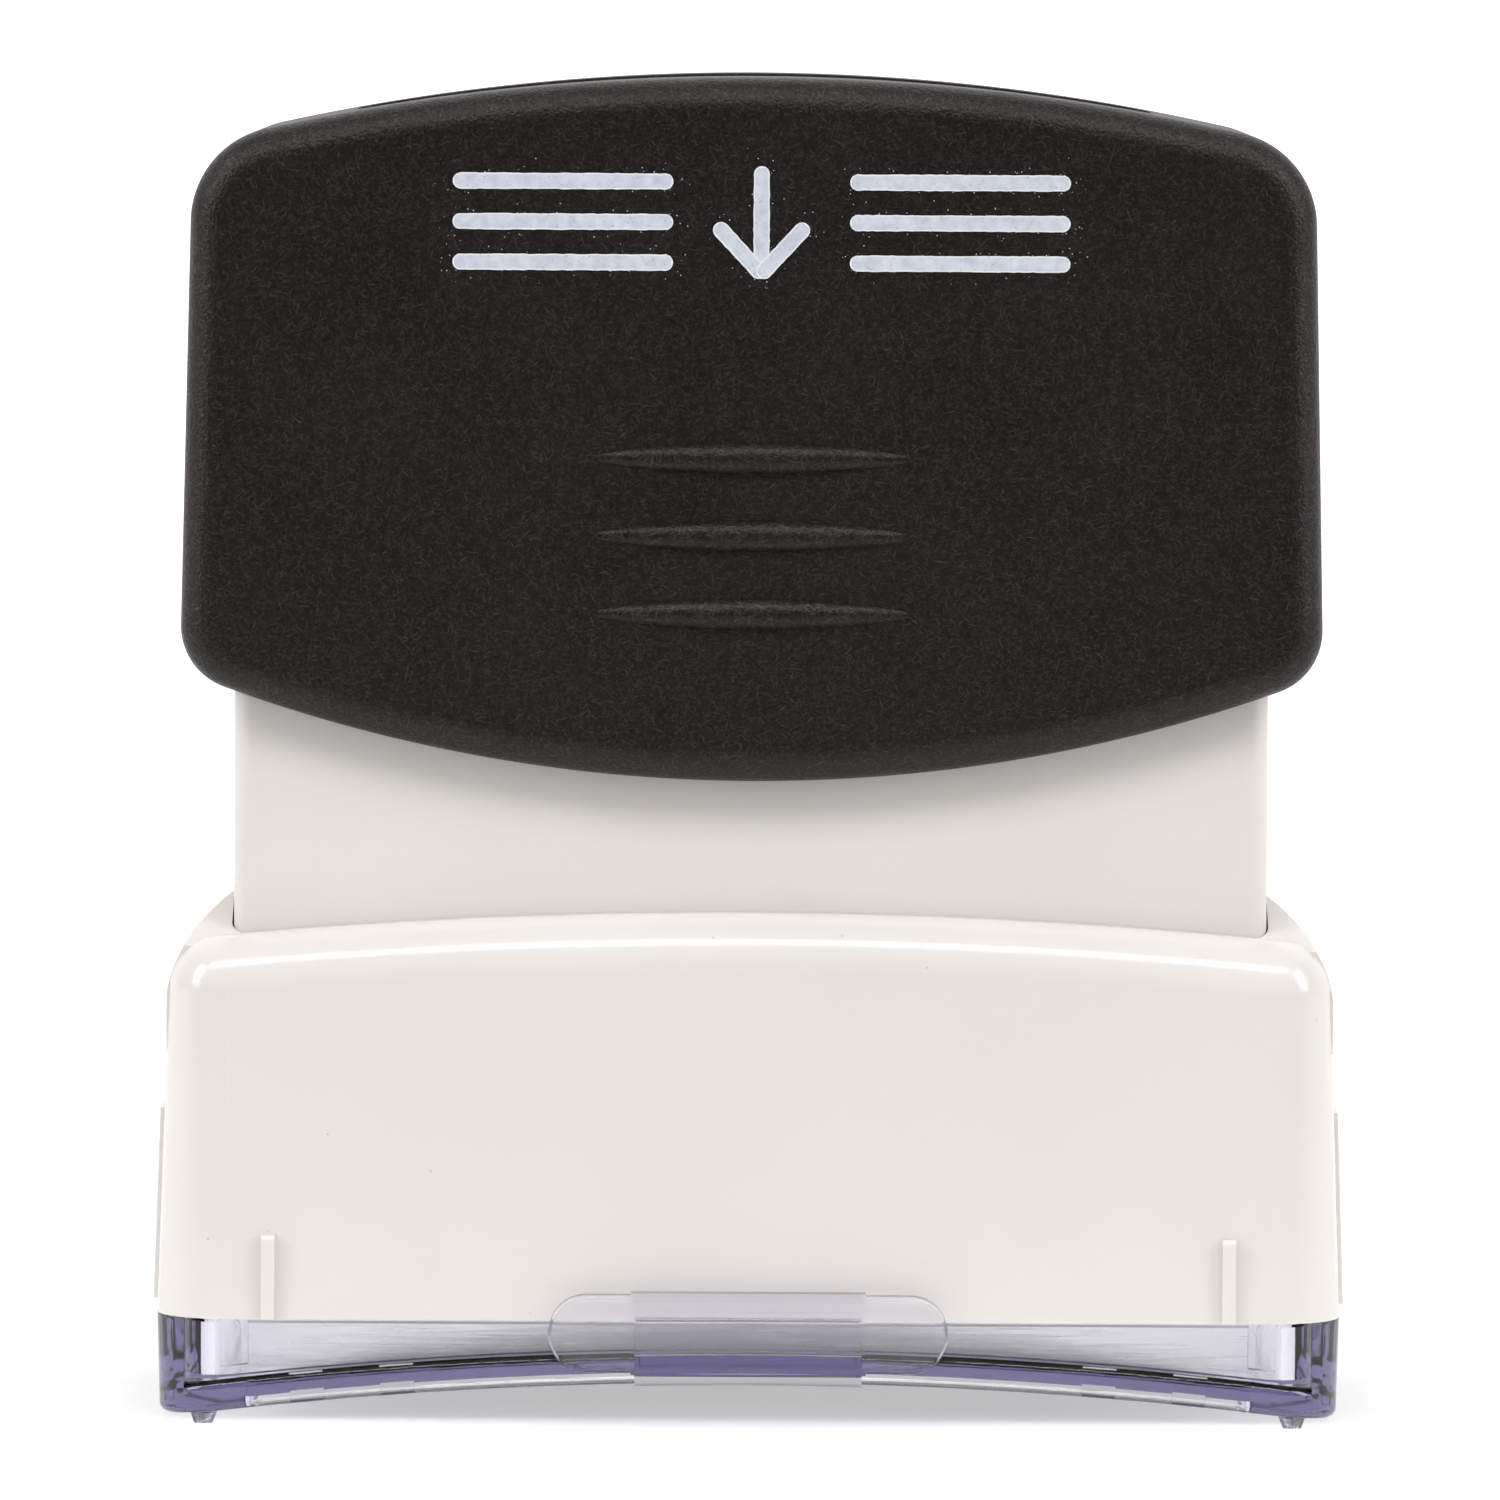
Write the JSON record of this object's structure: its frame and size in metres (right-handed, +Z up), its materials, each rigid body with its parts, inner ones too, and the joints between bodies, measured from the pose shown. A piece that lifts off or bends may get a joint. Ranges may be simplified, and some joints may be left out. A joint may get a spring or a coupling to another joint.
{
  "type": "self inking stamp",
  "caption": "Hand stamp with a black push handle on a spring-returned white stem, an off-white skirt and a clear violet dust cover with finger tabs.",
  "frame": {"origin": "middle of the rectangle that the dust cover's four feet stand on, at table height", "axes": "+Z up, X along the stamp's width, -Y towards the side that faces the user; the two sides are alike"},
  "size_m": [0.0624, 0.034, 0.0702],
  "materials": {
    "cover_violet": "clear violet-tinted plastic, polished",
    "skirt_white": "glossy off-white moulding",
    "stem_white": "semi-matte off-white moulding",
    "handle_black": "matte black moulding with a fine grain",
    "tank_natural": "natural milky moulding",
    "ink_felt": "felt and foam soaked in black ink",
    "seal_rubber": "soft black rubber",
    "label_card": "blank white card",
    "die_rubber": "porous rubber, inked",
    "holder_black": "matte black moulding",
    "bar_acetal": "satin acetal",
    "spring_steel": "bright drawn wire",
    "plug_grey": "soft grey moulding"
  },
  "bodies": {
    "cover_body": {"dust_cover": "cover_violet"},
    "skirt_body": {"skirt": "skirt_white", "return_bar_left": "bar_acetal", "return_bar_right": "bar_acetal", "return_spring_left": "spring_steel", "return_spring_right": "spring_steel"},
    "stem_body": {"stem": "stem_white", "ink_tank": "tank_natural", "tank_lid": "tank_natural", "ink_sponge": "ink_felt", "tank_seal": "seal_rubber", "ink_wick": "ink_felt", "ink_pad": "ink_felt", "stamp_die": "die_rubber", "die_holder": "holder_black", "die_bezel": "holder_black", "spring_cup_left": "bar_acetal", "spring_cup_right": "bar_acetal", "filler_plug_left": "plug_grey", "filler_plug_right": "plug_grey"},
    "handle_body": {"handle": "handle_black", "index_label": "label_card"}
  },
  "joints": [
    {"name": "stamp_lift", "type": "slide", "parent": "cover_body", "child": "skirt_body", "axis": [0, 0, 1], "range_m": [0, 0.03]},
    {"name": "press", "type": "slide", "parent": "skirt_body", "child": "stem_body", "axis": [0, 0, -1], "range_m": [0, 0.0055], "stiffness_N_per_m": 900, "springref_m": -0.004, "deforming": ["return_spring_left", "return_spring_right"]},
    {"name": "handle_pull", "type": "slide", "parent": "stem_body", "child": "handle_body", "axis": [0, 0, 1], "range_m": [0, 0.026]}
  ]
}
